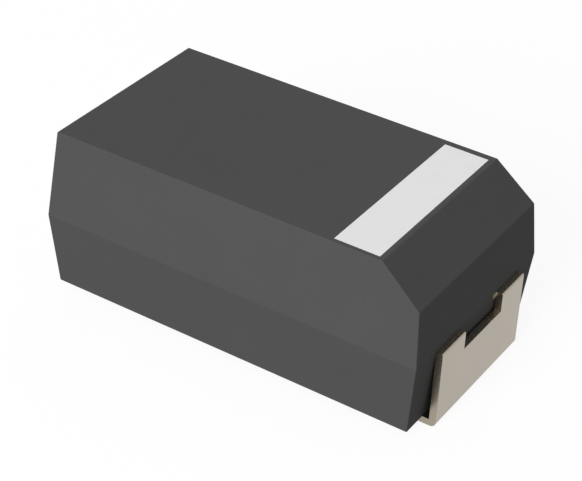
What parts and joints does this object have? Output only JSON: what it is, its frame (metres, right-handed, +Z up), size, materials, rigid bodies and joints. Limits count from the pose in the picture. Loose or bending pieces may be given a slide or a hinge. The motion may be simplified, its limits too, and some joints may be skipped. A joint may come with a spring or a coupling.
{
  "type": "moulded tantalum chip capacitor",
  "caption": "Surface-mount tantalum capacitor: drafted moulded case with a polarity bevel and stripe, on folded strip terminals.",
  "frame": {"origin": "middle of the part on the seating plane of its two feet", "axes": "+X along the part towards the anode end, +Y across it, +Z up from the board"},
  "size_m": [0.006, 0.0032, 0.0025],
  "materials": {
    "moulded_epoxy": "moulded, fine matt grain",
    "marking": "matt printed marking",
    "tinned_alloy": "matt tin plating on rolled alloy strip",
    "sintered_tantalum": "pressed and sintered, fine grain",
    "tantalum_wire": "drawn, satin",
    "washer_polymer": "smooth polymer",
    "manganese_dioxide": "dull, finely granular",
    "graphite": "dull dried paste",
    "silver_paint": "dull dried paint",
    "silver_epoxy": "cured paste"
  },
  "bodies": {
    "root": {"case": "moulded_epoxy", "polarity_stripe": "marking", "anode_terminal": "tinned_alloy", "cathode_terminal": "tinned_alloy", "anode_pellet": "sintered_tantalum", "anode_wire": "tantalum_wire", "wire_washer": "washer_polymer", "manganese_dioxide_coat": "manganese_dioxide", "graphite_coat": "graphite", "silver_coat": "silver_paint", "silver_adhesive": "silver_epoxy"}
  },
  "joints": []
}
